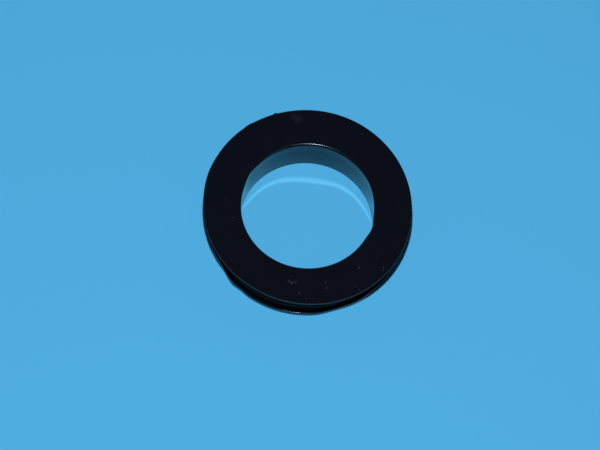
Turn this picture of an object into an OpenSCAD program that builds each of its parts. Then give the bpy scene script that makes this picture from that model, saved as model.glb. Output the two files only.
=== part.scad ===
// Knob gasket: one moulded rubber ring with two flanges and a panel groove between them.
// Millimetres, +Z up along the bore. The origin is the centre of the face that it rests on.

/* [Bore] */
// Diameter of the bore that the knob's collar passes through
bore_d = 30; // [20:0.5:60]
// Rounding of the bore's upper rim
bore_rim_r = 0.2; // [0.1:0.05:0.8]
// Rounding of the bore's lower rim
bore_foot_r = 0.2; // [0.1:0.05:0.8]

/* [Sleeve] */
// Wall of the sleeve between the bore and the groove
sleeve_wall = 5.7; // [2:0.1:8]
// Width of the groove that takes the panel's edge
groove_w = 8.2; // [2:0.2:15]
// Fillet at each root of the groove
groove_fillet_r = 0.7; // [0.1:0.1:0.8]

/* [Top flange] */
// How far the top flange stands out from the sleeve
top_reach = 2.8; // [2:0.1:12]
// Thickness of the top flange at its root, beside the sleeve
top_root_t = 1.3; // [1:0.1:4]
// Thickness of the top flange at its edge, a lip that its sloping underside leaves
top_edge_t = 0.5; // [0.4:0.1:1]
// Rounding of the lip, above and below
top_edge_r = 0.1; // [0.05:0.05:0.15]

/* [Foot flange] */
// How far the foot flange stands out from the sleeve
foot_reach = 1.55; // [1.5:0.05:10]
// Thickness of the foot flange
foot_t = 1.15; // [1.15:0.05:5]
// Rounding of the foot flange's upper outer edge
foot_edge_r = 0.45; // [0.1:0.05:0.5]
// Rounding of the foot flange's lower outer edge
foot_base_r = 0.15; // [0.05:0.05:0.4]

/* [Gate nib] */
// Where the gate nib stands on the foot flange, in degrees clockwise from the front
nib_angle = 42.5; // [0:2.5:180]
// Length of the gate nib along the flange
nib_w = 5.2; // [2:0.2:8]
// How far the gate nib stands out from the flange
nib_reach = 0.15; // [0.1:0.05:1]
// Height of the gate nib above the resting face
nib_h = 0.6; // [0.3:0.1:1]

/* [Hidden] */

// How far a cutting shape runs past a face, and how far an added one sinks into it
overlap = 0.05;
$fn = 180;

bore_r = bore_d / 2;
sleeve_r = bore_r + sleeve_wall;
top_r = sleeve_r + top_reach;
foot_r = sleeve_r + foot_reach;
top_z = foot_t + groove_w;
body_h = top_z + top_root_t;
lip_z = body_h - top_edge_t;
// How steeply the top flange's underside rises towards its lip, in degrees
lip_slope = atan((top_root_t - top_edge_t) / top_reach);

// The sliver between a rounding and a corner at the origin that opens towards +x and +y.
// The corner opens by slope degrees more than a right angle. A concave corner gains this
// sliver as a fillet, and a convex one, turned half round, loses it.
module corner_sliver(r, slope = 0) {
    centre = [r, r * (1 - sin(slope)) / cos(slope)];
    difference() {
        polygon([
            centre,
            centre - [r + overlap, 0],
            [-overlap, -overlap],
            centre - (r + overlap) * [sin(slope), cos(slope)]
        ]);
        translate(centre) circle(r);
    }
}

// A fillet in a concave corner at x, z; opens_up says whether the corner opens upwards
module fillet(x, z, r, opens_up = true, slope = 0) {
    translate([x, z]) mirror([0, opens_up ? 0 : 1]) corner_sliver(r, slope);
}

// What rounding takes from a convex corner at x, z; the sides say which way the corner points
module corner_waste(x, z, r, points_out = true, points_up = true, slope = 0) {
    translate([x, z]) mirror([points_out ? 0 : 1, 0]) mirror([0, points_up ? 0 : 1])
        rotate(180) corner_sliver(r, slope);
}

// Half of the ring's section, from the bore's wall outwards
module ring_section() {
    difference() {
        union() {
            translate([bore_r, 0]) square([sleeve_wall, body_h]);
            translate([bore_r, 0]) square([foot_r - bore_r, foot_t]);
            polygon([[bore_r, top_z], [sleeve_r, top_z], [top_r, lip_z], [top_r, body_h], [bore_r, body_h]]);
            fillet(sleeve_r, foot_t, groove_fillet_r);
            fillet(sleeve_r, top_z, groove_fillet_r, opens_up = false, slope = lip_slope);
        }
        corner_waste(bore_r, body_h, bore_rim_r, points_out = false);
        corner_waste(bore_r, 0, bore_foot_r, points_out = false, points_up = false);
        corner_waste(top_r, body_h, top_edge_r);
        corner_waste(top_r, lip_z, top_edge_r, points_up = false, slope = lip_slope);
        corner_waste(foot_r, foot_t, foot_edge_r);
        corner_waste(foot_r, 0, foot_base_r, points_up = false);
    }
}

// What is left of the mould's gate: a low wedge on the foot flange, seated in its edge
module gate_nib() {
    nib_root = nib_w / 2;
    linear_extrude(nib_h)
        polygon([
            [-nib_root, -sqrt(foot_r * foot_r - nib_root * nib_root)],
            [-nib_root, -foot_r + foot_reach / 2],
            [nib_root, -foot_r + foot_reach / 2],
            [nib_root, -sqrt(foot_r * foot_r - nib_root * nib_root)],
            [0, -foot_r - nib_reach]
        ]);
}

module knob_gasket() {
    color([0.05, 0.06, 0.09])
        union() {
            rotate_extrude() ring_section();
            rotate([0, 0, -nib_angle]) gate_nib();
        }
}

knob_gasket();
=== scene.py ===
# Knob gasket: one moulded rubber ring on a plain floor, with a lamp and a camera.
import math

import bmesh
import bpy
from mathutils import Matrix, Vector


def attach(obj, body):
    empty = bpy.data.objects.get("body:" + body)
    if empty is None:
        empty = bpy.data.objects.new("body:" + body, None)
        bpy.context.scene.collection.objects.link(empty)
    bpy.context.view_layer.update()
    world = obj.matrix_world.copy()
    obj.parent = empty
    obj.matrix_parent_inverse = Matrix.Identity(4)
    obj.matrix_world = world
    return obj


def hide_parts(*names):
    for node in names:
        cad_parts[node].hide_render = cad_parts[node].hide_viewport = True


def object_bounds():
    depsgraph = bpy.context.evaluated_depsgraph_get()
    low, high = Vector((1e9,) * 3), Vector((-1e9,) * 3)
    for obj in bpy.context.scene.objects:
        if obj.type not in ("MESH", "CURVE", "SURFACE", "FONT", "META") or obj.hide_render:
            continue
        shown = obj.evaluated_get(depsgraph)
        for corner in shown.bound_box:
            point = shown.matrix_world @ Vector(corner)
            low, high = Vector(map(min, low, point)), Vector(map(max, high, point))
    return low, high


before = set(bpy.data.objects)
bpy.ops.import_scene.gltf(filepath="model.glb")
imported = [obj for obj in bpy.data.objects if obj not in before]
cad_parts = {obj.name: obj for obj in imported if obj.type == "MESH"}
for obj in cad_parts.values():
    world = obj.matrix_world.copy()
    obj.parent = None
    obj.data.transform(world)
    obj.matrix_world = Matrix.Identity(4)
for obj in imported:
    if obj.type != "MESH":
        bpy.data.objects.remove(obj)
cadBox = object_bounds()
print("stage: frame loaded")

mm = 0.001  # one millimetre in Blender's metres


def toLinear(hexText):
    channels = [int(hexText[i:i + 2], 16) / 255 for i in (1, 3, 5)]
    return tuple(c / 12.92 if c <= 0.04045 else ((c + 0.055) / 1.055) ** 2.4 for c in channels) + (1.0,)


def addNode(material, kind, settings=None, values=None, links=None):
    # one node with its settings, its sockets' values and its incoming links
    tree = material.node_tree
    node = tree.nodes.new(kind)
    for name, value in (settings or {}).items():
        setattr(node, name, value)
    for name, value in (values or {}).items():
        node.inputs[name].default_value = value
    for name, socket in (links or {}).items():
        tree.links.new(socket, node.inputs[name])
    return node


def newMaterial(name):
    material = bpy.data.materials.new(name)
    material.use_nodes = True
    material.node_tree.nodes.clear()
    return material


def pickVertices(piece, test):
    # edit mode, vertices picked by their place
    bpy.ops.mesh.select_all(action="DESELECT")
    mesh = bmesh.from_edit_mesh(piece.data)
    for vertex in mesh.verts:
        vertex.select = test(vertex.co)
    mesh.select_flush(True)
    bmesh.update_edit_mesh(piece.data)


def smoothStep(low, high, value):
    share = min(max((value - low) / (high - low), 0.0), 1.0)
    return share * share * (3 - 2 * share)


ring = {
    "sides": 576,  # steps round the ring
    "boreRadius": 15.0 * mm,
    "boreTopRadius": 14.87 * mm,  # the bore draws in towards its upper rim
    "boreRimWidth": 0.28 * mm,  # a broken edge round the upper rim
    "boreRimDepth": 0.4 * mm,
    "sleeveRadius": 20.65 * mm,
    "topRadius": 23.5 * mm,
    "footRadius": 22.17 * mm,
    "height": 10.65 * mm,
    "topEdgeThickness": 0.5 * mm,
    "topRootThickness": 1.3 * mm,
    "footThickness": 1.3 * mm,
    "boreRimRound": 0.13 * mm,
    "boreFootRound": 0.2 * mm,
    "topEdgeRound": 0.12 * mm,
    "footEdgeRound": 0.14 * mm,
    "footBaseRound": 0.15 * mm,
    "grooveFillet": 0.7 * mm,
    "roundSteps": 6,
    "smoothAngle": 40,  # edges that turn by less than this are shaded smooth, degrees
    "sameCorner": 0.01 * mm,  # a vertex this near a corner of the section belongs to it
    "merge": 0.001 * mm,  # vertices nearer to each other than this become one
}

# how this ring departs from a true one: each swell has its azimuth and half width, in degrees
# from the front towards the right, and its height
wear = {
    "lipOval": 0.17 * mm,  # the thin lip has sprung oval by this, each way
    "lipOvalAzimuth": 32,
    "lipSwells": [(32.0, 65.0, 0.2 * mm), (-28.0, 18.0, -0.08 * mm), (-165.0, 32.0, -0.08 * mm),
                  (-104.0, 14.0, 0.1 * mm)],
    "lipFlash": [(-156.9, 1.6, 0.24 * mm), (-140.8, 4.0, 0.12 * mm)],
    "flashPower": 4,  # how closely the flash keeps to the lip
    "footPressed": [(-56.0, 12.5, 0.3 * mm), (-37.0, 7.0, 0.12 * mm), (24.0, 16.0, 0.28 * mm)],
    "nib": (-42.5, 6.5, 0.17 * mm),  # what is left of the gate
    "nibHeight": 0.7 * mm,
    "rimDepth": 0.9 * mm,  # how far below the upper face the rim's own wear reaches
    "rimReach": 3.0 * mm,  # it also stops this far inside the sleeve's outer wall
    "rimSag": [(-146.0, 22.0, 1.1), (-116.0, 13.0, -0.5), (118.0, 24.0, -0.45)],  # shares of the depth
    "rimOut": [(76.0, 12.0, 0.3 * mm), (-116.0, 13.0, 0.2 * mm), (118.0, 24.0, 0.1 * mm)],
}


def ringCorners(r):
    # the section's corners, round from the bore's top rim, each with its rounding
    return [
        (r["boreTopRadius"], r["height"] - r["boreRimDepth"], r["boreRimRound"]),
        (r["boreTopRadius"] + r["boreRimWidth"], r["height"], r["boreRimRound"]),
        (r["topRadius"], r["height"], r["topEdgeRound"]),
        (r["topRadius"], r["height"] - r["topEdgeThickness"], r["topEdgeRound"]),
        (r["sleeveRadius"], r["height"] - r["topRootThickness"], r["grooveFillet"]),
        (r["sleeveRadius"], r["footThickness"], r["grooveFillet"]),
        (r["footRadius"], r["footThickness"], r["footEdgeRound"]),
        (r["footRadius"], 0.0, r["footBaseRound"]),
        (r["boreRadius"], 0.0, r["boreFootRound"]),
    ]


def makeRing(r):
    corners = ringCorners(r)
    radius, height, _ = corners[0]
    bpy.ops.object.select_all(action="DESELECT")
    bpy.ops.mesh.primitive_circle_add(vertices=r["sides"], radius=radius, location=(0, 0, height))
    piece = bpy.context.active_object
    piece.name = "gasket_ring"
    bpy.ops.object.transform_apply(location=True, rotation=True, scale=True)
    bpy.ops.object.mode_set(mode="EDIT")
    bpy.ops.mesh.select_all(action="SELECT")
    for nextRadius, nextHeight, _ in corners[1:] + corners[:1]:
        bpy.ops.mesh.extrude_region_move(
            TRANSFORM_OT_translate={"value": (0, 0, nextHeight - height)})
        scale = nextRadius / radius
        bpy.ops.transform.resize(value=(scale, scale, 1), center_override=(0, 0, nextHeight))
        radius, height = nextRadius, nextHeight
    bpy.ops.mesh.select_all(action="SELECT")
    bpy.ops.mesh.remove_doubles(threshold=r["merge"])
    for cornerRadius, cornerHeight, rounding in corners:
        def atCorner(co):
            return (abs(math.hypot(co.x, co.y) - cornerRadius) < r["sameCorner"]
                    and abs(co.z - cornerHeight) < r["sameCorner"])
        pickVertices(piece, atCorner)
        bpy.ops.mesh.bevel(offset=rounding, segments=r["roundSteps"], affect="EDGES", profile=0.5)
    bpy.ops.mesh.select_all(action="SELECT")
    bpy.ops.mesh.normals_make_consistent(inside=False)
    bpy.ops.object.mode_set(mode="OBJECT")
    return piece


def swell(azimuth, spots, sharp=False):
    # the sum of the swells at one azimuth: a sharp one is a wedge, the others are rounded
    total = 0.0
    for centre, halfWidth, amount in spots:
        away = abs((azimuth - centre + 180) % 360 - 180) / halfWidth
        if away < 1:
            total += amount * ((1 - away) if sharp else (0.5 + 0.5 * math.cos(math.pi * away)))
    return total


def wearRing(piece, r, w):
    midHeight = r["height"] / 2
    rimFloor = r["height"] - w["rimDepth"]
    for vertex in piece.data.vertices:
        co = vertex.co
        radius = math.hypot(co.x, co.y)
        azimuth = math.degrees(math.atan2(co.x, -co.y))
        push, drop = 0.0, 0.0
        if co.z > midHeight:
            onLip = smoothStep(r["sleeveRadius"], r["topRadius"], radius)
            push += onLip * w["lipOval"] * math.cos(2 * math.radians(azimuth - w["lipOvalAzimuth"]))
            push += onLip * swell(azimuth, w["lipSwells"])
            push += onLip ** w["flashPower"] * swell(azimuth, w["lipFlash"])
        else:
            onFoot = smoothStep(r["sleeveRadius"], r["footRadius"], radius)
            push -= onFoot * swell(azimuth, w["footPressed"])
            if co.z < w["nibHeight"]:
                push += onFoot * swell(azimuth, [w["nib"]], sharp=True)
        if co.z > rimFloor and radius < r["sleeveRadius"] - w["rimReach"]:
            push += swell(azimuth, w["rimOut"])
            drop = (r["height"] - co.z) * swell(azimuth, w["rimSag"])
        scale = (radius + push) / radius
        vertex.co = (co.x * scale, co.y * scale, co.z - drop)


gasketRing = makeRing(ring)
wearRing(gasketRing, ring, wear)
bpy.ops.object.shade_smooth_by_angle(angle=math.radians(ring["smoothAngle"]))
print("stage: ring modelled", len(gasketRing.data.polygons), "faces")

rubberLook = {
    "black": "#070912",
    "paleBlack": "#080B15",  # where the compound is a shade lighter
    # the trimmed lip's paler black: partly its own matt tone, partly a painted sheen
    "lipBlackAndSheen": "#0D131E",
    "groovePaintedLight": "#24282F",  # painted light: the shaded groove is made paler, standing in for the light that fills it
    "mottleSize": 7.0 * mm,
    "ior": 1.5,
    "sheenTint": "#D2F0FF",
    "boreIor": 1.38,  # the bore's wall mirrors less than the other faces
    "boreTint": "#83C9ED",
    "roughness": (0.08, 0.13),  # polished mould, between these
    "roughnessSize": 2.5 * mm,
    "cloudRange": (0.3, 0.7),  # the share of the clouding's noise that is used
    "lipRoughness": 0.6,  # the lip is trimmed, so it is matt
    "rimRoughness": 0.2,  # the bore's broken edge is satin
    "grainSize": 0.4 * mm,
    "grainDepth": 0.0006 * mm,
    # where each finish starts and is full; depths are below the upper face
    "edgeDepth": (0.0005 * mm, 0.003 * mm),  # off the flat of the upper face
    "lipWidth": (0.7 * mm, 0.5 * mm),  # in from the lip
    "rimDepth": (1.0 * mm, 0.5 * mm),
    "rimWidth": (0.6 * mm, 0.4 * mm),  # out from the bore at its top
    "grooveStart": (2.0 * mm, 3.0 * mm),  # out from the bore, inside the sleeve's wall
    "grooveFoot": 0.1 * mm,  # above the foot flange
    "boreDepth": (0.5 * mm, 0.9 * mm),
    "boreWidth": (0.3 * mm, 0.1 * mm),  # out from the bore
    # pale dust specks, with the same colour used for a painted sheen near the back
    "speckAndSheenColour": "#4A5564",
    "speckWander": 0.35 * mm,
    "speckWanderSize": 0.5 * mm,
    "speckSqueeze": (1.35, 0.75),  # the specks are short smears that run front to back
    "speckCore": 0.2,  # the share of a speck's radius at full strength
    "speckDepth": (0.01 * mm, 0.1 * mm),  # specks fade out between these depths
    # pale specks on the upper face, and near the back a row of wide faint spots that paint a sheen: x
    # and y in mm, radius in mm, strength
    "specksAndSheen": [
        (-16.3, -4.6, 0.22, 0.35), (-13.9, -8.3, 0.2, 0.2), (-2.5, -18.5, 0.42, 0.24),
        (-1.9, -18.9, 0.46, 0.32), (-1.2, -18.7, 0.4, 0.24), (-0.8, -18.3, 0.3, 0.15),
        (0.0, -21.2, 0.3, 0.32), (5.6, -18.0, 0.34, 0.2), (6.0, -19.3, 0.32, 0.26),
        (12.7, -13.6, 0.26, 0.45), (18.2, -13.6, 0.24, 0.55), (18.1, -13.0, 0.2, 0.3),
        (13.3, -18.9, 0.22, 0.3), (12.2, -18.3, 0.25, 0.18), (16.5, -11.0, 0.25, 0.1),
        # the six wide faint spots from (-5.3, 21.3) on are a painted sheen, not specks
        (20.0, 2.4, 0.25, 0.1), (1.8, -22.4, 0.25, 0.15), (-5.3, 21.3, 0.75, 0.06),
        (-4.7, 21.3, 0.8, 0.08), (-4.1, 21.2, 0.8, 0.08), (-3.5, 21.2, 0.75, 0.06),
        (-4.5, 20.4, 0.6, 0.06), (-3.9, 20.4, 0.6, 0.05), (10.6, 19.0, 0.28, 0.12),
        (3.3, 22.4, 0.25, 0.12), (1.2, 22.6, 0.25, 0.1), (-18.9, 11.8, 0.22, 0.1),
        (-18.2, -0.1, 0.2, 0.15), (-3.8, 15.9, 0.22, 0.2),
    ],
    "dustSpacing": 1.6 * mm,
    "dustMote": (0.02, 0.09),  # a mote's core and its edge, as shares of the spacing
    "dustStrength": 0.08,
}


def makeMouldedRubber(look, r):
    # EPDM rubber from a polished mould: near black with a cool cast, a deep gloss with faint clouding,
    # painted light that lifts the shaded groove, a matt trimmed lip whose paler black partly paints its
    # sheen, pale specks, and a painted sheen near the back
    material = newMaterial("moulded_rubber_gloss")

    def node(kind, settings=None, values=None, links=None):
        return addNode(material, kind, settings, values, links)

    place = node("ShaderNodeTexCoord").outputs["Object"]
    height = node("ShaderNodeSeparateXYZ", links={"Vector": place}).outputs["Z"]
    flat = node("ShaderNodeMapping", values={"Scale": (1, 1, 0)}, links={"Vector": place})
    radius = node("ShaderNodeVectorMath", {"operation": "LENGTH"},
                  links={0: flat.outputs["Vector"]}).outputs["Value"]

    # off the flat of the upper face, so on a rounding, a side or below
    offFlat = node("ShaderNodeMapRange", values={
        1: r["height"] - look["edgeDepth"][1], 2: r["height"] - look["edgeDepth"][0], 3: 1.0, 4: 0.0},
        links={"Value": height})

    # the trimmed lip: matt, with a paler black that partly paints its sheen
    lipOut = node("ShaderNodeMapRange", values={
        1: r["topRadius"] - look["lipWidth"][0], 2: r["topRadius"] - look["lipWidth"][1]},
        links={"Value": radius})
    lip = node("ShaderNodeMath", {"operation": "MULTIPLY"},
               links={0: offFlat.outputs["Result"], 1: lipOut.outputs["Result"]})

    # the bore's broken edge
    rimIn = node("ShaderNodeMapRange", values={
        1: r["boreTopRadius"] + look["rimWidth"][1], 2: r["boreTopRadius"] + look["rimWidth"][0],
        3: 1.0, 4: 0.0}, links={"Value": radius})
    rimHigh = node("ShaderNodeMapRange", values={
        1: r["height"] - look["rimDepth"][0], 2: r["height"] - look["rimDepth"][1]},
        links={"Value": height})
    rimBand = node("ShaderNodeMath", {"operation": "MULTIPLY"},
                   links={0: rimIn.outputs["Result"], 1: rimHigh.outputs["Result"]})
    rim = node("ShaderNodeMath", {"operation": "MULTIPLY"},
               links={0: rimBand.outputs["Value"], 1: offFlat.outputs["Result"]})

    # the groove, from the foot flange up to the lip, which painted light makes paler
    grooveOut = node("ShaderNodeMapRange", values={
        1: r["boreRadius"] + look["grooveStart"][0], 2: r["boreRadius"] + look["grooveStart"][1]},
        links={"Value": radius})
    aboveFoot = node("ShaderNodeMapRange", values={
        1: r["footThickness"], 2: r["footThickness"] + look["grooveFoot"]}, links={"Value": height})
    grooveBand = node("ShaderNodeMath", {"operation": "MULTIPLY"},
                      links={0: grooveOut.outputs["Result"], 1: aboveFoot.outputs["Result"]})
    groove = node("ShaderNodeMath", {"operation": "MULTIPLY"},
                  links={0: grooveBand.outputs["Value"], 1: offFlat.outputs["Result"]})

    # the bore's wall below that edge
    boreIn = node("ShaderNodeMapRange", values={
        1: r["boreRadius"] + look["boreWidth"][1], 2: r["boreRadius"] + look["boreWidth"][0],
        3: 1.0, 4: 0.0}, links={"Value": radius})
    boreLow = node("ShaderNodeMapRange", values={
        1: r["height"] - look["boreDepth"][1], 2: r["height"] - look["boreDepth"][0],
        3: 1.0, 4: 0.0}, links={"Value": height})
    boreWall = node("ShaderNodeMath", {"operation": "MULTIPLY"},
                    links={0: boreIn.outputs["Result"], 1: boreLow.outputs["Result"]})

    # specks, and the painted sheen among them, keep to the flat upper face
    wander = node("ShaderNodeTexNoise", values={"Scale": 1 / look["speckWanderSize"], "Detail": 1.0},
                  links={"Vector": place})
    shift = node("ShaderNodeVectorMath", {"operation": "MULTIPLY_ADD"}, values={
        1: (look["speckWander"],) * 3, 2: (-look["speckWander"] / 2,) * 3},
        links={0: wander.outputs["Color"]})
    strayed = node("ShaderNodeVectorMath", {"operation": "ADD"},
                   links={0: place, 1: shift.outputs["Vector"]})
    squeeze = look["speckSqueeze"]
    strayedFlat = node("ShaderNodeMapping", values={"Scale": (squeeze[0], squeeze[1], 0)},
                       links={"Vector": strayed.outputs["Vector"]})
    speckAndSheenMask = None
    for x, y, size, strength in look["specksAndSheen"]:
        away = node("ShaderNodeVectorMath", {"operation": "DISTANCE"}, values={
            1: (x * mm * squeeze[0], y * mm * squeeze[1], 0)},
            links={0: strayedFlat.outputs["Vector"]})
        spot = node("ShaderNodeMapRange", {"interpolation_type": "SMOOTHSTEP"}, values={
            1: look["speckCore"] * size * mm, 2: size * mm, 3: strength, 4: 0.0},
            links={0: away.outputs["Value"]})
        if speckAndSheenMask is None:
            speckAndSheenMask = spot
        else:
            speckAndSheenMask = node("ShaderNodeMath", {"operation": "MAXIMUM"},
                             links={0: speckAndSheenMask.outputs[0], 1: spot.outputs[0]})
    upperFace = node("ShaderNodeMapRange", values={
        1: r["height"] - look["speckDepth"][1], 2: r["height"] - look["speckDepth"][0]},
        links={"Value": height})
    specksAndSheen = node("ShaderNodeMath", {"operation": "MULTIPLY"},
                  links={0: speckAndSheenMask.outputs[0], 1: upperFace.outputs["Result"]})

    # fine dust, a mote here and there
    cells = node("ShaderNodeTexVoronoi", values={"Scale": 1 / look["dustSpacing"]},
                 links={"Vector": place})
    mote = node("ShaderNodeMapRange", {"interpolation_type": "SMOOTHSTEP"}, values={
        1: look["dustMote"][0], 2: look["dustMote"][1], 3: look["dustStrength"], 4: 0.0},
        links={0: cells.outputs["Distance"]})
    pale = node("ShaderNodeMath", {"operation": "MAXIMUM"},
                links={0: specksAndSheen.outputs["Value"], 1: mote.outputs["Result"]})

    # the black of each part, with painted light in the shaded groove and a partly painted sheen on the
    # lip, then the dust, specks and a painted sheen over it
    mottle = node("ShaderNodeTexNoise", values={"Scale": 1 / look["mottleSize"], "Detail": 3.0},
                  links={"Vector": place})
    compound = node("ShaderNodeMix", {"data_type": "RGBA"}, values={
        6: toLinear(look["black"]), 7: toLinear(look["paleBlack"])},
        links={0: mottle.outputs["Fac"]})
    # painted light: the shaded groove is lifted to a paler black
    grooveLightPainted = node("ShaderNodeMix", {"data_type": "RGBA"}, values={7: toLinear(look["groovePaintedLight"])},
                   links={0: groove.outputs["Value"], 6: compound.outputs[2]})
    # the lip's paler black, partly a painted sheen
    lipPaleAndSheen = node("ShaderNodeMix", {"data_type": "RGBA"}, values={7: toLinear(look["lipBlackAndSheen"])},
                   links={0: lip.outputs["Value"], 6: grooveLightPainted.outputs[2]})
    # pale specks and dust, and a painted sheen near the back
    dustedAndSheened = node("ShaderNodeMix", {"data_type": "RGBA"}, values={7: toLinear(look["speckAndSheenColour"])},
                  links={0: pale.outputs["Value"], 6: lipPaleAndSheen.outputs[2]})

    # the gloss: clouded on the polished faces, matt on the lip, satin on the bore's edge
    clouds = node("ShaderNodeTexNoise", values={"Scale": 1 / look["roughnessSize"], "Detail": 2.0},
                  links={"Vector": place})
    gloss = node("ShaderNodeMapRange", values={
        1: look["cloudRange"][0], 2: look["cloudRange"][1],
        3: look["roughness"][0], 4: look["roughness"][1]}, links={"Value": clouds.outputs["Fac"]})
    lipGloss = node("ShaderNodeMix", values={3: look["lipRoughness"]},
                    links={0: lip.outputs["Value"], 2: gloss.outputs["Result"]})
    edgeGloss = node("ShaderNodeMix", values={3: look["rimRoughness"]},
                     links={0: rim.outputs["Value"], 2: lipGloss.outputs[0]})
    mirror = node("ShaderNodeMix", values={2: look["ior"], 3: look["boreIor"]},
                  links={0: boreWall.outputs["Value"]})
    sheen = node("ShaderNodeMix", {"data_type": "RGBA"}, values={
        6: toLinear(look["sheenTint"]), 7: toLinear(look["boreTint"])},
        links={0: boreWall.outputs["Value"]})

    grain = node("ShaderNodeTexNoise", values={"Scale": 1 / look["grainSize"], "Detail": 2.0},
                 links={"Vector": place})
    relief = node("ShaderNodeBump", values={"Strength": 1.0, "Distance": look["grainDepth"]},
                  links={"Height": grain.outputs["Fac"]})

    shader = node("ShaderNodeBsdfPrincipled", links={
        "Base Color": dustedAndSheened.outputs[2], "Roughness": edgeGloss.outputs[0],
        "IOR": mirror.outputs[0], "Specular Tint": sheen.outputs[2],
        "Normal": relief.outputs["Normal"]})
    node("ShaderNodeOutputMaterial", links={"Surface": shader.outputs["BSDF"]})
    return material


mouldedRubber = makeMouldedRubber(rubberLook, ring)
gasketRing.data.materials.append(mouldedRubber)
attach(gasketRing, "root")
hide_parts("knob_gasket")
print("stage: rubber applied")

floorLook = {
    "size": 3.0,  # metres
    "colour": "#50ACDF",
    # painted light, standing in for what the bore's gloss throws on the card: a bright bow, clear
    # inside and fading outwards
    "bowColour": "#64C6F9",
    "bowPeak": 10.4 * mm,  # how far behind the centre the bow's middle lies
    "bowFall": 7.3 * mm,  # how far its ends come forward
    "bowHalf": 14.0 * mm,  # half its width
    "bowPower": 3.2,  # how flat its middle is
    "bowRise": (-0.5 * mm, 0.2 * mm),  # its clear inner edge
    "bowFade": (1.8 * mm, 1.0 * mm),  # how wide it fades, in the middle and at the ends
    "bowCore": 0.2,  # the share of that width at full strength
    "bowEnd": 1.06,  # it is gone here, as a share of the half width
}


def makeMattCard(look):
    # uncoated card: an even matt colour, with the light thrown on it through the bore painted on
    material = newMaterial("matt_card")

    def node(kind, settings=None, values=None, links=None):
        return addNode(material, kind, settings, values, links)

    place = node("ShaderNodeSeparateXYZ", links={
        "Vector": node("ShaderNodeTexCoord").outputs["Object"]})
    aside = node("ShaderNodeMath", {"operation": "ABSOLUTE"}, links={0: place.outputs["X"]})
    across = node("ShaderNodeMath", {"operation": "DIVIDE"}, {1: look["bowHalf"]},
                  {0: aside.outputs["Value"]}).outputs["Value"]
    curve = node("ShaderNodeMath", {"operation": "POWER"}, {1: look["bowPower"]}, {0: across})
    ridge = node("ShaderNodeMath", {"operation": "MULTIPLY_ADD"},
                 {1: -look["bowFall"], 2: look["bowPeak"]}, {0: curve.outputs["Value"]})
    past = node("ShaderNodeMath", {"operation": "SUBTRACT"},
                links={0: place.outputs["Y"], 1: ridge.outputs["Value"]}).outputs["Value"]

    rise = node("ShaderNodeMapRange", {"interpolation_type": "SMOOTHSTEP"}, values={
        1: look["bowRise"][0], 2: look["bowRise"][1]}, links={"Value": past})
    width = node("ShaderNodeMapRange", values={3: look["bowFade"][0], 4: look["bowFade"][1]},
                 links={"Value": across})
    outwards = node("ShaderNodeMath", {"operation": "DIVIDE"},
                    links={0: past, 1: width.outputs["Result"]})
    fade = node("ShaderNodeMapRange", {"interpolation_type": "SMOOTHSTEP"}, values={
        1: look["bowCore"], 2: 1.0, 3: 1.0, 4: 0.0}, links={"Value": outwards.outputs["Value"]})
    ends = node("ShaderNodeMapRange", values={1: 1.0, 2: look["bowEnd"], 3: 1.0, 4: 0.0},
                links={"Value": across})
    ridgeLight = node("ShaderNodeMath", {"operation": "MULTIPLY"},
                      links={0: rise.outputs["Result"], 1: fade.outputs["Result"]})
    bow = node("ShaderNodeMath", {"operation": "MULTIPLY"},
               links={0: ridgeLight.outputs["Value"], 1: ends.outputs["Result"]})
    tint = node("ShaderNodeMix", {"data_type": "RGBA"}, values={
        6: toLinear(look["colour"]), 7: toLinear(look["bowColour"])},
        links={0: bow.outputs["Value"]})
    shader = node("ShaderNodeBsdfDiffuse", links={"Color": tint.outputs[2]})
    node("ShaderNodeOutputMaterial", links={"Surface": shader.outputs["BSDF"]})
    return material


def makeFloor(look):
    bpy.ops.object.select_all(action="DESELECT")
    bpy.ops.mesh.primitive_plane_add(size=look["size"], location=(0, 0, cadBox[0][2]))
    floor = bpy.context.active_object
    floor.name = "floor"
    floor.data.materials.append(makeMattCard(look))


makeFloor(floorLook)

view = {
    "elevation": 67.1,  # degrees above the floor
    "roll": 5.6,  # the camera leans to the left by this, degrees
    "distance": 1.2704,  # metres
    "pixelScale": 5680.0,  # focal length in pixels of a 600 wide frame
    "topCentrePixel": (307.66, 206.0),  # where the middle of the upper face shows
    "frame": (600, 450),
    "sensorWidth": 36.0,  # millimetres
    "nearest": 0.01,  # nothing nearer than this is drawn, metres
}


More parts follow.
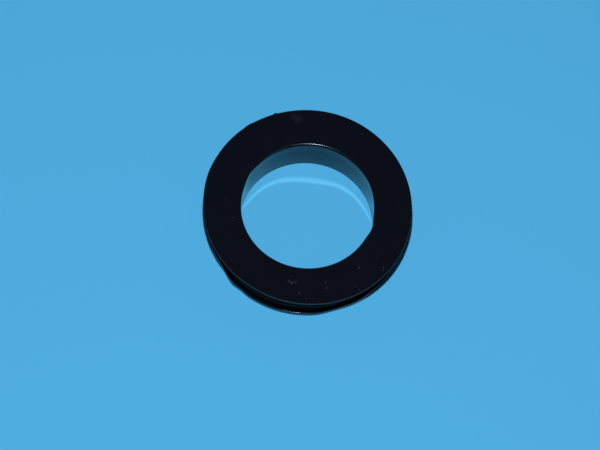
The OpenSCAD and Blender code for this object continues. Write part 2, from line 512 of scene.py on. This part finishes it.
def makeCamera(v):
    elevation = math.radians(v["elevation"])
    roll = math.radians(v["roll"])
    right = Vector((1, 0, 0))
    up = Vector((0, math.sin(elevation), math.cos(elevation)))
    back = right.cross(up)
    imageRight = right * math.cos(roll) + up * math.sin(roll)
    imageUp = up * math.cos(roll) - right * math.sin(roll)
    perPixel = v["distance"] / v["pixelScale"]
    offRight = (v["topCentrePixel"][0] - v["frame"][0] / 2) * perPixel
    offUp = (v["frame"][1] / 2 - v["topCentrePixel"][1]) * perPixel
    topCentre = Vector((0, 0, ring["height"]))
    place = topCentre - imageRight * offRight - imageUp * offUp + back * v["distance"]
    data = bpy.data.cameras.new("camera")
    data.sensor_width = v["sensorWidth"]
    data.lens = v["pixelScale"] * v["sensorWidth"] / v["frame"][0]
    data.clip_start = v["nearest"]
    camera = bpy.data.objects.new("camera", data)
    turn = Matrix((imageRight, imageUp, back)).transposed()
    camera.matrix_world = Matrix.Translation(place) @ turn.to_4x4()
    bpy.context.scene.collection.objects.link(camera)
    bpy.context.scene.camera = camera


makeCamera(view)

# metres and watts; the azimuth runs from the front towards the right, in degrees
keyLamp = {"elevation": 76.0, "azimuth": -3.7, "distance": 0.8, "size": 0.02, "power": 6.05}


def makeLamp(name, lamp):
    data = bpy.data.lights.new(name, "AREA")
    data.shape = "DISK"
    data.size = lamp["size"]
    data.energy = lamp["power"]
    elevation = math.radians(lamp["elevation"])
    azimuth = math.radians(lamp["azimuth"])
    direction = Vector((math.sin(azimuth) * math.cos(elevation),
                        -math.cos(azimuth) * math.cos(elevation), math.sin(elevation)))
    light = bpy.data.objects.new(name, data)
    light.location = direction * lamp["distance"]
    light.rotation_euler = direction.to_track_quat("Z", "Y").to_euler()
    bpy.context.scene.collection.objects.link(light)


makeLamp("key", keyLamp)

roomLight = {"colour": "#FFFFFF", "strength": 0.05}
world = bpy.data.worlds.new("room")
world.use_nodes = True
background = world.node_tree.nodes["Background"]
background.inputs["Color"].default_value = toLinear(roomLight["colour"])
background.inputs["Strength"].default_value = roomLight["strength"]
bpy.context.scene.world = world
bpy.context.scene.view_settings.view_transform = "Standard"
print("stage: floor, camera and lamp placed")
